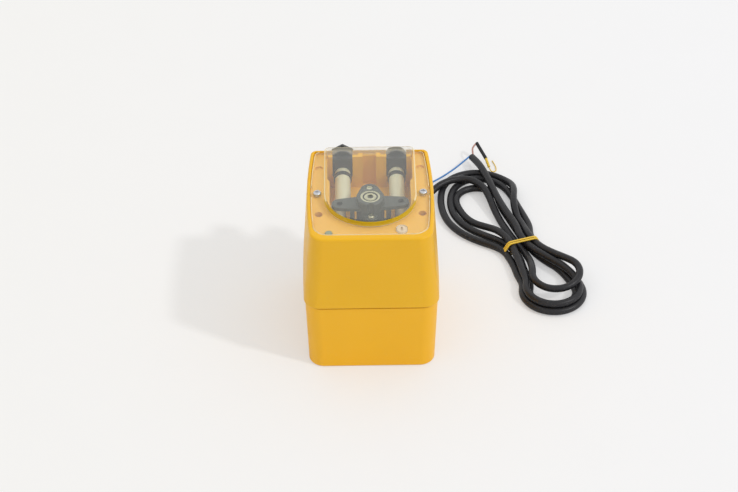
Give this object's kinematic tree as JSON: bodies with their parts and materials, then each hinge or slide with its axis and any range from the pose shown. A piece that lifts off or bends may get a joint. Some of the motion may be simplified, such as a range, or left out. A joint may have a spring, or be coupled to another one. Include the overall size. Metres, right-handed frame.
{
  "type": "peristaltic pump",
  "caption": "Compact hose dosing pump in a yellow case, its roller rotor and hose under a clear domed cover, with screw hose outlets and a tied mains cable.",
  "frame": {"origin": "centre of the flat wall face of the rear box", "axes": "+Z out of the clear cover, +Y towards the end wall with the hose outlets and the cable, +X to the right seen from above with the outlets at the top"},
  "size_m": [0.2401, 0.2968, 0.1383],
  "materials": {
    "yellow_case": "satin moulded plastic",
    "clear_plastic": "clear moulded plastic",
    "charcoal_plastic": "matt moulded plastic",
    "black_plastic": "moulded plastic",
    "white_plastic": "moulded plastic",
    "blue_plastic": "moulded plastic",
    "hose_rubber": "soft cream tubing",
    "black_rubber": "matt rubber",
    "steel": "bright steel",
    "plated_steel": "zinc plated",
    "brass": "turned brass",
    "board_green": "solder mask",
    "lamp_green": "clear tinted lens",
    "cable_black": "PVC sheath",
    "yellow_band": "rubber band",
    "blue_wire": "core insulation",
    "brown_wire": "core insulation"
  },
  "bodies": {
    "housing": {"rear_box": "yellow_case", "seam_gasket": "black_rubber", "front_housing": "yellow_case", "clear_cover": "clear_plastic", "cover_screws": "steel", "housing_screws": "steel", "bearing_inner": "steel", "pump_hose": "hose_rubber", "hose_clamp_left": "black_plastic", "hose_clamp_right": "black_plastic", "hose_connector_left": "black_plastic", "hose_connector_right": "black_plastic", "hose_nut_left": "black_plastic", "hose_nut_right": "black_plastic", "gearbox_front_plate": "plated_steel", "gearbox_back_plate": "plated_steel", "gearbox_pillars": "brass", "gearbox_screws": "steel", "shaft_bushes": "brass", "shaft_seal": "black_rubber", "intermediate_arbor": "steel", "motor_body": "plated_steel", "motor_screws": "steel", "circuit_board": "board_green", "board_screws": "steel", "indicator_lamp": "lamp_green", "trimmer_body": "blue_plastic", "terminal_block": "white_plastic", "cable_gland": "black_plastic", "gland_nut": "black_plastic", "gland_lock_nut": "black_plastic", "power_cable": "cable_black", "cable_hank": "cable_black", "hank_band": "yellow_band", "cut_end": "cable_black", "blue_wire": "blue_wire", "brown_wire": "brown_wire", "wire_sleeve": "cable_black", "wire_ferrule": "yellow_band"},
    "rotor": {"rotor": "charcoal_plastic", "rotor_base": "charcoal_plastic", "rotor_screws": "steel", "roller_pins": "steel", "bearing_outer": "steel", "output_shaft": "steel", "output_gear": "plated_steel"},
    "roller_left": {"roller_left": "white_plastic"},
    "roller_right": {"roller_right": "white_plastic"},
    "intermediate_gear": {"intermediate_gear": "brass"},
    "motor_rotor": {"motor_shaft": "steel", "motor_armature": "steel", "motor_pinion": "brass"},
    "trimmer_cap": {"trimmer_cap": "white_plastic"}
  },
  "joints": [
    {"name": "rotor_turn", "type": "hinge", "parent": "housing", "child": "rotor", "pos_m": [0, -0.0055, 0], "axis": [0, 0, 1], "continuous": true, "deforming": ["pump_hose"]},
    {"name": "roller_left_spin", "type": "hinge", "parent": "rotor", "child": "roller_left", "pos_m": [-0.02498, -0.00659, 0.1155], "axis": [0, 0, 1], "continuous": true},
    {"name": "roller_right_spin", "type": "hinge", "parent": "rotor", "child": "roller_right", "pos_m": [0.02498, -0.00441, 0.1155], "axis": [0, 0, 1], "continuous": true},
    {"name": "intermediate_gear_turn", "type": "hinge", "parent": "housing", "child": "intermediate_gear", "pos_m": [0, 0.03058, 0], "axis": [0, 0, 1], "continuous": true},
    {"name": "motor_turn", "type": "hinge", "parent": "housing", "child": "motor_rotor", "pos_m": [0, 0.0049, 0], "axis": [0, 0, 1], "continuous": true},
    {"name": "trimmer_turn", "type": "hinge", "parent": "housing", "child": "trimmer_cap", "pos_m": [0.0245, -0.0453, 0], "axis": [0, 0, 1], "range_deg": [-135, 135]}
  ],
  "couplings": [
    {"joint": "intermediate_gear_turn", "follows": "rotor_turn", "ratio": -4},
    {"joint": "motor_turn", "follows": "rotor_turn", "ratio": 14.286}
  ]
}
